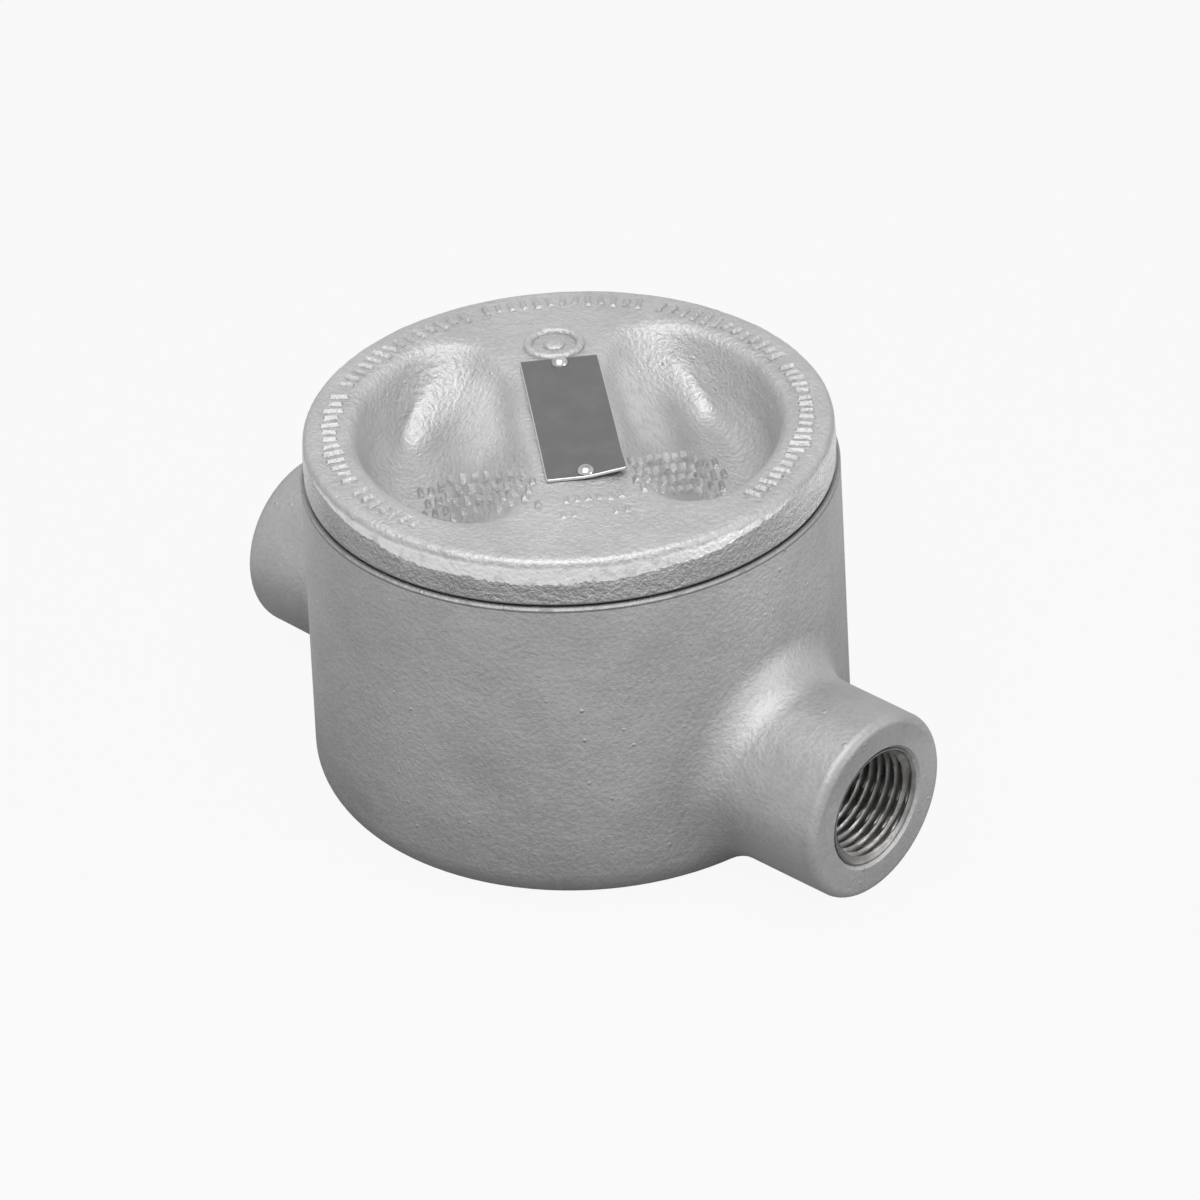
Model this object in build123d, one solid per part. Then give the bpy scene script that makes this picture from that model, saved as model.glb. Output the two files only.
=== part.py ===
from build123d import *
from math import radians, sqrt, tan
import os

# Round cast-iron conduit outlet box with two opposite threaded hubs and a screw-in cover.
# Millimetres. Origin at the centre of the underside, +Z up, hubs along X.

# Box casting
BODY_HEIGHT = 60.5
RIM_RADIUS = 47.5
BODY_DRAFT = 1.5
BASE_RADIUS = RIM_RADIUS + BODY_DRAFT
BASE_EDGE_RADIUS = 6.0
RIM_EDGE_CHAMFER = 0.4
WALL = 6.0
FLOOR = 4.5
FLOOR_EDGE_RADIUS = 5.0

# Conduit hubs
HUB_PROJECTION = 22.3
HUB_LENGTH = RIM_RADIUS + HUB_PROJECTION
HUB_RADIUS = 17.2
HUB_ROOT_GROWTH = 0.25
HUB_AXIS_HEIGHT = 17.5
HUB_EDGE_RADIUS = 1.6
HUB_BLEND_RADIUS = 7.0
HUB_THREAD_RADIUS = 10.6
HUB_THREAD_LENGTH = 18.0
HUB_MOUTH_CHAMFER = 1.0
THROAT_RADIUS = 7.9

# Cover thread, twelve turns an inch, as plain cylinders at the root diameters
RIM_WALL = 6.2
COVER_THREAD_RADIUS = RIM_RADIUS - RIM_WALL
COVER_THREAD_PITCH = 2.1167
THREAD_DEPTH_PER_PITCH = 0.6
COVER_THREAD_DEPTH = THREAD_DEPTH_PER_PITCH * COVER_THREAD_PITCH
COVER_TURNS = 6
THREAD_RELIEF = 2.5
SEAL_SEAT_CHAMFER = 2.2

# Cover casting
RIM_LEDGE = 0.6
COVER_RADIUS = RIM_RADIUS - RIM_LEDGE
COVER_RISE = 8.8
COVER_EDGE_RADIUS = 1.4
COVER_SIDE_DRAFT = 0.4
PARTING_HEIGHT = 3.9
JOINT_GAP = 0.5
SPIGOT_WALL = 4.5
COVER_PLATE = 5.5
COVER_TURN_ANGLE = -40.0

# Finger wells and the bridge between them
RING_WIDTH = 9.5
WELL_RADIUS = COVER_RADIUS - RING_WIDTH
WELL_DEPTH = 14.0
WELL_DRAFT = 10.0
WELL_ROUNDING = 8.0
WELL_LIP_RADIUS = 2.2
BRIDGE_HALF_WAIST = 8.7
BRIDGE_FLARE_RADIUS = 105.0
BRIDGE_DRAFT = 30.0
WELL_METAL = 4.5

# Nameplate and its two drive screws
PLATE_LENGTH = 41.0
PLATE_WIDTH = 14.0
PLATE_THICKNESS = 0.6
PLATE_X = 0.3
PLATE_Y = 0.8
PLATE_CORNER_RADIUS = 0.4
SCREW_EDGE_DISTANCE = 1.7
SCREW_SHANK_RADIUS = 1.1
SCREW_HEAD_RADIUS = 1.9
SCREW_HEAD_HEIGHT = 1.3
SCREW_LENGTH = 3.5
SCREW_TIP_CHAMFER = 0.35
PLATE_HOLE_CLEARANCE = 0.05

# Cover seal, in a corner whose third side slopes at 45 degrees
SEAL_CLEARANCE = 0.3
SEAL_SIDE_SHARE = 1 / (2 + sqrt(2))

# Earthing screw and its boss on the box floor
EARTH_X = 0.0
EARTH_Y = 27.0
EARTH_BOSS_RADIUS = 6.0
EARTH_BOSS_HEIGHT = 3.5
EARTH_SHANK_RADIUS = 2.0
EARTH_SCREW_LENGTH = 6.5
EARTH_HEAD_RADIUS = 4.2
EARTH_HEAD_HEIGHT = 3.0
EARTH_SLOT_WIDTH = 1.1
EARTH_SLOT_DEPTH = 1.3
WASHER_RADIUS = 5.2
WASHER_THICKNESS = 0.9
WASHER_BORE_CLEARANCE = 0.3
EARTH_HEAD_SIDES = 6
HOLE_END_GAP = 0.5

# Worked out from the sizes above, with settings of the build
CAVITY_RADIUS = RIM_RADIUS - WALL
SPIGOT_RADIUS = COVER_THREAD_RADIUS - COVER_THREAD_DEPTH
SPIGOT_DEPTH = COVER_TURNS * COVER_THREAD_PITCH
THREAD_FOOT = BODY_HEIGHT - SPIGOT_DEPTH - THREAD_RELIEF
FLANGE_FOOT = BODY_HEIGHT + JOINT_GAP
COVER_TOP = BODY_HEIGHT + COVER_RISE
SPIGOT_FOOT = BODY_HEIGHT - SPIGOT_DEPTH
EARTH_SEAT = FLOOR + EARTH_BOSS_HEIGHT
FUSE_OVERLAP = 1.0
EDGE_SLACK = 0.05
FROM_BELOW = (Align.CENTER, Align.CENTER, Align.MIN)
FROM_ABOVE = (Align.CENTER, Align.CENTER, Align.MAX)


def revolved(points):
    """Solid of revolution about Z of a closed outline given as radius and height pairs."""
    return revolve(make_face(Plane.YZ * Polyline(*points, close=True)), Axis.Z)


def circle_edges(part, radius, height):
    """Full circles about Z of one radius at one height."""
    found = part.edges().filter_by(GeomType.CIRCLE)
    found = found.filter_by(lambda e: abs(e.radius - radius) < EDGE_SLACK)
    return found.filter_by(lambda e: abs(e.center().Z - height) < EDGE_SLACK)


def turned_cover(part):
    """Turn a piece of the cover from its own axes to the angle that the cover stands at."""
    return part.rotate(Axis.Z, COVER_TURN_ANGLE)


# Pieces of the box casting

def hub_outside(side):
    """Tapered boss that carries one conduit hub, on the side +1 or -1 of the box."""
    length = HUB_LENGTH - CAVITY_RADIUS
    root_radius = HUB_RADIUS + HUB_ROOT_GROWTH
    boss = Cone(root_radius, HUB_RADIUS, length, align=FROM_BELOW)
    boss = fillet(boss.edges().sort_by(Axis.Z)[-1], HUB_EDGE_RADIUS)
    return Pos(0, 0, HUB_AXIS_HEIGHT) * Rot(0, 90 * side, 0) * Pos(0, 0, CAVITY_RADIUS) * boss


def hub_bore(side):
    """Threaded hole, throat and lead-in chamfer of one hub."""
    throat_start = CAVITY_RADIUS - WALL
    bore_start = HUB_LENGTH - HUB_THREAD_LENGTH
    mouth_radius = HUB_THREAD_RADIUS + HUB_MOUTH_CHAMFER
    outline = [
        (0, throat_start),
        (THROAT_RADIUS, throat_start),
        (THROAT_RADIUS, bore_start - (HUB_THREAD_RADIUS - THROAT_RADIUS)),
        (HUB_THREAD_RADIUS, bore_start),
        (HUB_THREAD_RADIUS, HUB_LENGTH - HUB_MOUTH_CHAMFER),
        (mouth_radius, HUB_LENGTH),
        (mouth_radius, HUB_LENGTH + FUSE_OVERLAP),
        (0, HUB_LENGTH + FUSE_OVERLAP),
    ]
    return Pos(0, 0, HUB_AXIS_HEIGHT) * Rot(0, 90 * side, 0) * revolved(outline)


def box_outside():
    """Drum of the box blended into both hubs."""
    drum = revolved([
        (0, 0),
        (BASE_RADIUS, 0),
        (RIM_RADIUS, BODY_HEIGHT - RIM_EDGE_CHAMFER),
        (RIM_RADIUS - RIM_EDGE_CHAMFER, BODY_HEIGHT),
        (0, BODY_HEIGHT),
    ])
    drum = fillet(circle_edges(drum, BASE_RADIUS, 0), BASE_EDGE_RADIUS)
    joined = drum + hub_outside(1) + hub_outside(-1)
    return joined.fillet(HUB_BLEND_RADIUS, joined.edges().filter_by(GeomType.BSPLINE))


def box_inside():
    """Thread bore, seal seat and wire chamber as one turned core."""
    seat_radius = COVER_THREAD_RADIUS + SEAL_SEAT_CHAMFER
    core = revolved([
        (0, FLOOR),
        (CAVITY_RADIUS, FLOOR),
        (CAVITY_RADIUS, THREAD_FOOT),
        (COVER_THREAD_RADIUS, THREAD_FOOT),
        (COVER_THREAD_RADIUS, BODY_HEIGHT - SEAL_SEAT_CHAMFER),
        (seat_radius, BODY_HEIGHT),
        (seat_radius, BODY_HEIGHT + FUSE_OVERLAP),
        (0, BODY_HEIGHT + FUSE_OVERLAP),
    ])
    return fillet(circle_edges(core, CAVITY_RADIUS, FLOOR), FLOOR_EDGE_RADIUS)


def earth_boss():
    """Raised pad on the floor with the earthing screw's hole."""
    pad = Cylinder(EARTH_BOSS_RADIUS, EARTH_BOSS_HEIGHT + FUSE_OVERLAP, align=FROM_BELOW)
    return Pos(EARTH_X, EARTH_Y, FLOOR - FUSE_OVERLAP) * pad


def earth_hole():
    """Blind hole for the earthing screw's shank."""
    depth = EARTH_SCREW_LENGTH - WASHER_THICKNESS + HOLE_END_GAP
    return Pos(EARTH_X, EARTH_Y, EARTH_SEAT) * Cylinder(EARTH_SHANK_RADIUS, depth, align=FROM_ABOVE)


def box_body():
    """The whole box casting, machined."""
    body = box_outside() - box_inside() + earth_boss() - earth_hole()
    return body - hub_bore(1) - hub_bore(-1)


# Pieces of the cover casting

def drafted_disc(radius, depth, draft):
    """Round pocket blank that narrows downwards from the cover's top."""
    foot_radius = radius - depth * tan(radians(draft))
    return Pos(0, 0, COVER_TOP) * Cone(foot_radius, radius, depth, align=FROM_ABOVE)


def well(side, grow=0.0):
    """Drafted pocket with rounded floor and corners; grown, it is the metal that encloses the pocket."""
    depth = WELL_DEPTH + grow
    outer = drafted_disc(WELL_RADIUS + grow, depth, WELL_DRAFT)
    flare = drafted_disc(BRIDGE_FLARE_RADIUS + grow, depth, BRIDGE_DRAFT)
    pocket = outer & (Pos(0, BRIDGE_HALF_WAIST + BRIDGE_FLARE_RADIUS, 0) * flare)
    corners = pocket.edges().filter_by(lambda e: e.bounding_box().size.Z > depth - EDGE_SLACK)
    floor_edges = pocket.faces().sort_by(Axis.Z)[0].edges()
    pocket = fillet(corners + floor_edges, WELL_ROUNDING + grow)
    return pocket if side > 0 else pocket.rotate(Axis.Z, 180)


def cover_outside():
    """Turned outside of the cover: flange with its parting line, and threaded spigot."""
    top_radius = COVER_RADIUS - COVER_SIDE_DRAFT
    parting = BODY_HEIGHT + PARTING_HEIGHT
    blank = revolved([
        (0, SPIGOT_FOOT),
        (SPIGOT_RADIUS, SPIGOT_FOOT),
        (SPIGOT_RADIUS, FLANGE_FOOT),
        (COVER_RADIUS - COVER_SIDE_DRAFT / 2, FLANGE_FOOT),
        (COVER_RADIUS, parting),
        (top_radius, COVER_TOP),
        (0, COVER_TOP),
    ])
    return fillet(circle_edges(blank, top_radius, COVER_TOP), COVER_EDGE_RADIUS)


def cover_underside():
    """Hollow inside the spigot, up to the top plate and round the metal of both wells."""
    radius = SPIGOT_RADIUS - SPIGOT_WALL
    height = COVER_TOP - COVER_PLATE - SPIGOT_FOOT
    hollow = Pos(0, 0, SPIGOT_FOOT) * Cylinder(radius, height, align=FROM_BELOW)
    return hollow - well(1, WELL_METAL) - well(-1, WELL_METAL)


def screw_places():
    """Centres of the two drive screws, near the ends of the nameplate."""
    reach = PLATE_LENGTH / 2 - SCREW_EDGE_DISTANCE
    return [(PLATE_X - reach, PLATE_Y), (PLATE_X + reach, PLATE_Y)]


def screw_holes():
    """Press-in holes of the drive screws."""
    depth = SCREW_LENGTH - PLATE_THICKNESS + HOLE_END_GAP
    hole = Cylinder(SCREW_SHANK_RADIUS, depth, align=FROM_ABOVE)
    return [Pos(x, y, COVER_TOP) * hole for x, y in screw_places()]


def cover():
    """The whole cover casting."""
    body = cover_outside() - well(1) - well(-1)
    lips = body.faces().sort_by(Axis.Z)[-1].inner_wires().edges()
    body = fillet(lips, WELL_LIP_RADIUS)
    body -= cover_underside()
    for hole in screw_holes():
        body -= hole
    return turned_cover(body)


# Small pieces of the cover

def nameplate():
    """Plain sheet-metal plate with two screw holes."""
    blank = RectangleRounded(PLATE_LENGTH, PLATE_WIDTH, PLATE_CORNER_RADIUS)
    plate = Pos(PLATE_X, PLATE_Y, COVER_TOP) * extrude(blank, PLATE_THICKNESS)
    hole = Cylinder(SCREW_SHANK_RADIUS + PLATE_HOLE_CLEARANCE, PLATE_THICKNESS, align=FROM_BELOW)
    for x, y in screw_places():
        plate -= Pos(x, y, COVER_TOP) * hole
    return turned_cover(plate)


def drive_screw(place):
    """Round-headed drive screw with a blunt pilot."""
    x, y = place
    seat = COVER_TOP + PLATE_THICKNESS
    sphere = (SCREW_HEAD_RADIUS ** 2 + SCREW_HEAD_HEIGHT ** 2) / (2 * SCREW_HEAD_HEIGHT)
    head = Pos(0, 0, seat + SCREW_HEAD_HEIGHT - sphere) * Sphere(sphere)
    block = Pos(0, 0, seat) * Cylinder(SCREW_HEAD_RADIUS, SCREW_HEAD_HEIGHT, align=FROM_BELOW)
    shank = Pos(0, 0, seat) * Cylinder(SCREW_SHANK_RADIUS, SCREW_LENGTH, align=FROM_ABOVE)
    shank = chamfer(shank.edges().sort_by(Axis.Z)[0], SCREW_TIP_CHAMFER)
    return turned_cover(Pos(x, y, 0) * ((head & block) + shank))


def cover_o_ring():
    """Rubber ring as thick as the corner between spigot, flange and the sloping seat lets it be."""
    reach = SEAL_SEAT_CHAMFER + COVER_THREAD_DEPTH + JOINT_GAP
    section = reach * SEAL_SIDE_SHARE - SEAL_CLEARANCE
    radius = SPIGOT_RADIUS + SEAL_CLEARANCE + section
    height = FLANGE_FOOT - SEAL_CLEARANCE - section
    return Pos(0, 0, height) * Torus(radius, section)


# Earthing screw and washer

def ground_screw():
    """Slotted hexagon-head earthing screw."""
    seat = EARTH_SEAT + WASHER_THICKNESS
    head = extrude(RegularPolygon(EARTH_HEAD_RADIUS, EARTH_HEAD_SIDES), EARTH_HEAD_HEIGHT)
    slot = Pos(0, 0, EARTH_HEAD_HEIGHT) * Box(
        2 * EARTH_HEAD_RADIUS, EARTH_SLOT_WIDTH, EARTH_SLOT_DEPTH, align=FROM_ABOVE)
    shank = Cylinder(EARTH_SHANK_RADIUS, EARTH_SCREW_LENGTH, align=FROM_ABOVE)
    return Pos(EARTH_X, EARTH_Y, seat) * (head - slot + shank)


def ground_washer():
    """Flat washer under the earthing screw's head."""
    disc = Cylinder(WASHER_RADIUS, WASHER_THICKNESS, align=FROM_BELOW)
    bore = Cylinder(EARTH_SHANK_RADIUS + WASHER_BORE_CLEARANCE, WASHER_THICKNESS, align=FROM_BELOW)
    return Pos(EARTH_X, EARTH_Y, EARTH_SEAT) * (disc - bore)


def main():
    """Build every piece and write one STEP file for each."""
    rear, front = screw_places()
    pieces = {
        "box_body": box_body(),
        "cover": cover(),
        "cover_o_ring": cover_o_ring(),
        "nameplate": nameplate(),
        "drive_screw_rear": drive_screw(rear),
        "drive_screw_front": drive_screw(front),
        "ground_screw": ground_screw(),
        "ground_washer": ground_washer(),
    }
    os.makedirs("parts", exist_ok=True)
    for name, shape in pieces.items():
        export_step(shape, f"parts/{name}.step")


main()
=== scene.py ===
"""Looks of a round cast-iron conduit outlet box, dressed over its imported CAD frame."""

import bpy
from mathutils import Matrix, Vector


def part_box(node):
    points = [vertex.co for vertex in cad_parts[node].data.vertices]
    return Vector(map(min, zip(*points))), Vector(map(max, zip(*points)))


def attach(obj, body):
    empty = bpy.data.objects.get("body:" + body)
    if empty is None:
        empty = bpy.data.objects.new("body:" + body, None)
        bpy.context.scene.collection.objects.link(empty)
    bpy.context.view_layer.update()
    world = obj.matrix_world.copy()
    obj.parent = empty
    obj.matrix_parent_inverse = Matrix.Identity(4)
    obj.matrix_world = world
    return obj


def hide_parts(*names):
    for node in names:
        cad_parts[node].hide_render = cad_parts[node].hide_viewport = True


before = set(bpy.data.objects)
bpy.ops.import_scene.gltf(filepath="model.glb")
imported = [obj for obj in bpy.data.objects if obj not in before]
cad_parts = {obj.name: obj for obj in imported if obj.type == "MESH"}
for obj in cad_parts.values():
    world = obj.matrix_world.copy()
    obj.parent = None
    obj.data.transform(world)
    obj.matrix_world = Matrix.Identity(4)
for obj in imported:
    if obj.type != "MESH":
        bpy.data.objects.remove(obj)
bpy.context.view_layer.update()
RIM_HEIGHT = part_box("box_body")[1][2]
HUB_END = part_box("box_body")[1][0]
COVER_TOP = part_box("cover")[1][2]

import logging
from collections.abc import Callable
from dataclasses import dataclass, field
from enum import Enum
from functools import cached_property
from math import atan2, cos, degrees, exp, hypot, pi, radians, sin, tau

import bmesh
import bpy
from mathutils import Matrix, Vector, noise

LOG = logging.getLogger("outlet_box")
MM = 0.001
INCH = 25.4 * MM
MERGE_DISTANCE = 0.002 * MM
SMOOTH_ANGLE = radians(32.0)
NOISE_MIDDLE = 0.5

# Detail and roughness of the noise patterns
SOFT_NOISE = (2.0, 0.5)
GRITTY_NOISE = (2.0, 0.7)
PATCHY_NOISE = (3.0, 0.6)
ROUGH_NOISE = (4.0, 0.6)
RAGGED_NOISE = (5.0, 0.7)

# Share by which a rib narrows towards its top, on its sides and ends, and falls off to its sides
RIB_SIDE_DRAFT = 0.45
RIB_END_DRAFT = 0.35
RIB_DOME = 0.35

# Random turn of each rib, shares of its length, width and height, and the seeds they are drawn by
RIB_TILT = (-0.2, 0.2)
ARC_RIB_SPREAD = ((0.6, 1.05), (0.85, 1.3), (0.8, 1.15))
ROW_RIB_SPREAD = ((0.7, 1.08), (0.85, 1.25), (0.8, 1.15))
TILT_SEED = 3
ARC_RIB_SEED = 4
ROW_RIB_SEED = 7

Material = bpy.types.Material
Mesh = bpy.types.Mesh
Piece = bpy.types.Object
Colour = tuple[float, float, float, float]
Point = tuple[float, float, float]
Range = tuple[float, float]
Spot = tuple[float, float]
Outline = list[Spot]


class Body(Enum):
    """Bodies of the frame that new pieces ride on."""

    BOX = "box"
    COVER = "cover"


class Slot(Enum):
    """Material slots of the record."""

    CAST_BODY = "cast_body"
    CAST_COVER = "cast_cover"
    PLATE = "plate_metal"
    SCREW = "screw_steel"


class Side(Enum):
    """Ends of the box that carry a hub, as the sign of their X."""

    RIGHT = 1
    LEFT = -1


def math_step(operation: str, swapped: bool = False) -> "Callable[..., Sock]":
    """Method of a Sock that adds one Math node.

    Args:
        operation: what the node does.
        swapped: whether the Sock's own value comes last.

    Returns:
        The method.
    """

    def step(self: "Sock", *others: "Sock | float") -> "Sock":
        """Result of the node on this value and the others."""
        values = (*others, self) if swapped else (self, *others)
        return self.graph.node("ShaderNodeMath", {"operation": operation}, dict(enumerate(values)))

    return step


class Sock:
    """One output socket of a node tree, with arithmetic that adds Math nodes."""

    __add__ = __radd__ = math_step("ADD")
    __mul__ = __rmul__ = math_step("MULTIPLY")
    __sub__ = math_step("SUBTRACT")
    __rsub__ = math_step("SUBTRACT", swapped=True)
    __truediv__ = math_step("DIVIDE")
    __abs__ = math_step("ABSOLUTE")
    __lt__ = math_step("LESS_THAN")
    __gt__ = math_step("GREATER_THAN")
    smaller = math_step("MINIMUM")
    larger = math_step("MAXIMUM")
    floor = math_step("FLOOR")
    rounded = math_step("ROUND")
    root = math_step("SQRT")
    cosine = math_step("COSINE")
    sine = math_step("SINE")

    def __init__(self, graph: "Graph", port: bpy.types.NodeSocket) -> None:
        """Keep the tree's builder and the socket."""
        self.graph = graph
        self.port = port

    def side(self, name: str) -> "Sock":
        """Another output of the same node."""
        return Sock(self.graph, self.port.node.outputs[name])

    def length_with(self, other: "Sock") -> "Sock":
        """Length of the flat vector of two values."""
        return (self * self + other * other).root()

    def rise(self, low: float, high: float) -> "Sock":
        """Smooth step from 0 at low to 1 at high; high may be the lower one."""
        return self.graph.node(
            "ShaderNodeMapRange",
            {"interpolation_type": "SMOOTHSTEP", "clamp": True},
            {"Value": self, "From Min": low, "From Max": high, "To Min": 0.0, "To Max": 1.0},
        )


class Graph:
    """A node tree under construction."""

    def __init__(self, tree: bpy.types.NodeTree) -> None:
        """Keep the tree."""
        self.tree = tree

    def node(
        self,
        kind: str,
        settings: dict | None = None,
        values: dict | None = None,
        output: str | int = 0,
    ) -> Sock | None:
        """Add a node.

        Args:
            kind: the node's type.
            settings: its settings, set first.
            values: the values or links of its sockets, by index, name or identifier.
            output: which output is returned.

        Returns:
            The chosen output, or None from a node that ends the tree.
        """
        made = self.tree.nodes.new(kind)
        for key, value in (settings or {}).items():
            setattr(made, key, value)
        for key, value in (values or {}).items():
            self.feed(self._port(made.inputs, key), value)
        return Sock(self, self._port(made.outputs, output)) if made.outputs else None

    @staticmethod
    def _port(ports: bpy.types.bpy_prop_collection, key: str | int) -> bpy.types.NodeSocket:
        """Socket by its index, or by its name or identifier among those in use."""
        if isinstance(key, int):
            return ports[key]
        return next(port for port in ports if port.enabled and key in (port.name, port.identifier))

    def parts(self, vector: Sock) -> tuple[Sock, Sock, Sock]:
        """X, Y and Z of a vector."""
        x = self.node("ShaderNodeSeparateXYZ", None, {0: vector})
        return x, x.side("Y"), x.side("Z")

    def feed(self, port: bpy.types.NodeSocket, value: object) -> None:
        """Link a socket to a value's own socket, or set it."""
        if isinstance(value, Sock):
            self.tree.links.new(value.port, port)
        else:
            port.default_value = value


class Surface(Graph):
    """A material's tree, with the steps that the finishes share."""

    def __init__(self, name: str) -> None:
        """Make the material and its pattern coordinates."""
        self.material = bpy.data.materials.new(name)
        self.material.use_nodes = True
        self.material.node_tree.nodes.clear()
        super().__init__(self.material.node_tree)
        self.where = self.node("ShaderNodeTexCoord", output="Object")
        self.x, self.y, self.z = self.parts(self.where)

    @cached_property
    def radius(self) -> Sock:
        """Distance from the Z axis."""
        return self.x.length_with(self.y)

    def noise(
        self,
        size: float,
        detail: float = 3.0,
        roughness: float = 0.55,
        stretch: Point = (1, 1, 1),
    ) -> Sock:
        """Noise about 0.5, with features of a size in metres."""
        place = self.where
        if stretch != (1, 1, 1):
            place = self.node("ShaderNodeVectorMath", {"operation": "MULTIPLY"}, {0: place, 1: stretch})
        values = {"Vector": place, "Scale": 1.0 / size, "Detail": detail, "Roughness": roughness}
        return self.node("ShaderNodeTexNoise", None, values, "Fac")

    def sway(self, depth: float, size: float, *pattern: float) -> Sock:
        """Noise about zero; its depth is what the whole range of the noise would give."""
        return (self.noise(size, *pattern) - NOISE_MIDDLE) * depth

    def cells(self, size: float) -> Sock:
        """Distance from the nearest of scattered points, in cell sizes."""
        values = {"Vector": self.where, "Scale": 1.0 / size, "Randomness": 1.0}
        return self.node("ShaderNodeTexVoronoi", {"feature": "F1"}, values, "Distance")

    def blend(self, factor: "Sock | float", first: "Sock | Colour", second: "Sock | Colour") -> Sock:
        """Mix of two colours."""
        return self.node(
            "ShaderNodeMix",
            {"data_type": "RGBA"},
            {"Factor_Float": factor, "A_Color": first, "B_Color": second},
            "Result_Color",
        )

    def relief(self, height: Sock, depth: float, strength: float = 1.0, under: Sock | None = None) -> Sock:
        """Normal bent by a height pattern.

        Args:
            height: the pattern.
            depth: how far one unit of it stands out, in metres.
            strength: share of the effect.
            under: a normal already bent by another pattern.

        Returns:
            The bent normal.
        """
        values: dict = {"Strength": strength, "Distance": depth, "Height": height}
        if under is not None:
            values["Normal"] = under
        return self.node("ShaderNodeBump", None, values, "Normal")

    def close(self, values: dict) -> Material:
        """End the tree in a Principled shader with these values and links."""
        self.end(self.node("ShaderNodeBsdfPrincipled", None, values))
        return self.material

    def end(self, shader: Sock) -> None:
        """Link a shader to the material's output."""
        self.node("ShaderNodeOutputMaterial", None, {"Surface": shader})


def rays(graph: Graph) -> tuple[Sock, Sock]:
    """One on camera rays, and one on rays that a surface mirrors or lets through."""
    direct = graph.node("ShaderNodeLightPath", output="Is Camera Ray")
    return direct, direct.side("Is Glossy Ray").larger(direct.side("Is Transmission Ray"))


@dataclass(frozen=True)
class CastPaint:
    """Silver-grey enamel over a sand casting.

    Where its machined faces, painted shade, darker skin and painted highlights lie comes from the
    piece's own faces.
    """

    name: str
    paint: Colour = (0.54, 0.54, 0.54, 1.0)
    paint_low: Colour = (0.43, 0.43, 0.43, 1.0)
    # Colour of the painted highlights
    painted_highlight: Colour = (0.9, 0.9, 0.9, 1.0)
    # Colour of painted shade, and of the darker skin on the cover's rim
    shade_and_grime: Colour = (0.12, 0.118, 0.115, 1.0)
    steel: Colour = (0.40, 0.395, 0.39, 1.0)
    grain_size: float = 0.85 * MM
    pimple_size: float = 2.7 * MM
    wave_size: float = 9 * MM
    grain_depth: float = 0.27 * MM
    pimple_depth: float = 0.28 * MM
    wave_depth: float = 0.8 * MM
    turning_depth: float = 0.02 * MM
    turning_size: float = 0.35 * MM
    turning_lay: Point = (0.12, 0.12, 1.0)
    patch_spread: float = 2.3
    wave_strength: float = 0.5
    grain_strength: float = 0.9
    pimple_strength: float = 0.8
    spot_range: Range = (0.03, 0.17)
    spotted_patches: Range = (0.47, 0.64)
    spotted_waves: Range = (0.3, 0.6)
    tone_range: Range = (0.3, 0.68)
    patch_share: float = 0.55
    grain_share: float = 0.45
    spot_jitter: float = 0.12
    shade_and_dirt_share: float = 0.85
    metallic: float = 0.6
    bare_metallic: float = 0.95
    roughness: float = 0.42
    roughness_spread: float = 0.22
    machined_polish: float = 0.12
    highlight_polish: float = 0.06

    def make(self, bare: "BoxFaces | CoverFaces") -> Material:
        """Build the material.

        Args:
            bare: where the piece is machined, dirty, rubbed or coarse.

        Returns:
            The material.
        """
        s = Surface(self.name)
        machined = bare.mask(s)
        # Painted shade with the cover's darker skin, and painted highlights, placed by the piece's faces
        shade_and_dirt = bare.shade_and_grime(s)
        painted_highlight = bare.painted_highlight(s)
        grain = s.noise(self.grain_size, *ROUGH_NOISE)
        wave = s.noise(self.wave_size, *SOFT_NOISE)
        patch = s.noise(self.wave_size * self.patch_spread, *PATCHY_NOISE)
        spot = s.cells(self.pimple_size) + (grain - NOISE_MIDDLE) * self.spot_jitter
        spotted = patch.rise(*self.spotted_patches) * wave.rise(*self.spotted_waves)
        pimple = (1 - spot.rise(*self.spot_range)) * spotted
        cast = 1 - machined
        sand = (grain - NOISE_MIDDLE) * cast * bare.coarseness(s)
        normal = s.relief(wave * cast, self.wave_depth, self.wave_strength)
        normal = s.relief(sand, self.grain_depth, self.grain_strength, normal)
        normal = s.relief(pimple * cast, self.pimple_depth, self.pimple_strength, normal)
        turned = s.noise(self.turning_size, *SOFT_NOISE, self.turning_lay)
        normal = s.relief(turned * machined, self.turning_depth, 1.0, normal)
        tone = (grain * self.grain_share + patch * self.patch_share).rise(*self.tone_range)
        colour = s.blend(tone, self.paint_low, self.paint)
        # Painted shade darkens the paint, then painted highlights lighten it
        colour = s.blend(shade_and_dirt * self.shade_and_dirt_share, colour, self.shade_and_grime)
        colour = s.blend(painted_highlight, colour, self.painted_highlight)
        colour = s.blend(machined, colour, self.steel)
        # Painted shade inside the hub throats and along the cover's joint
        colour = s.blend(bare.depth_shade(s), colour, self.shade_and_grime)
        uneven = (grain - NOISE_MIDDLE) * self.roughness_spread
        polish = machined * self.machined_polish + painted_highlight * self.highlight_polish
        return s.close({
            "Base Color": colour,
            "Metallic": machined.larger(painted_highlight) * (self.bare_metallic - self.metallic) + self.metallic,
            "Roughness": self.roughness + uneven - polish,
            "Normal": normal,
        })


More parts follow.
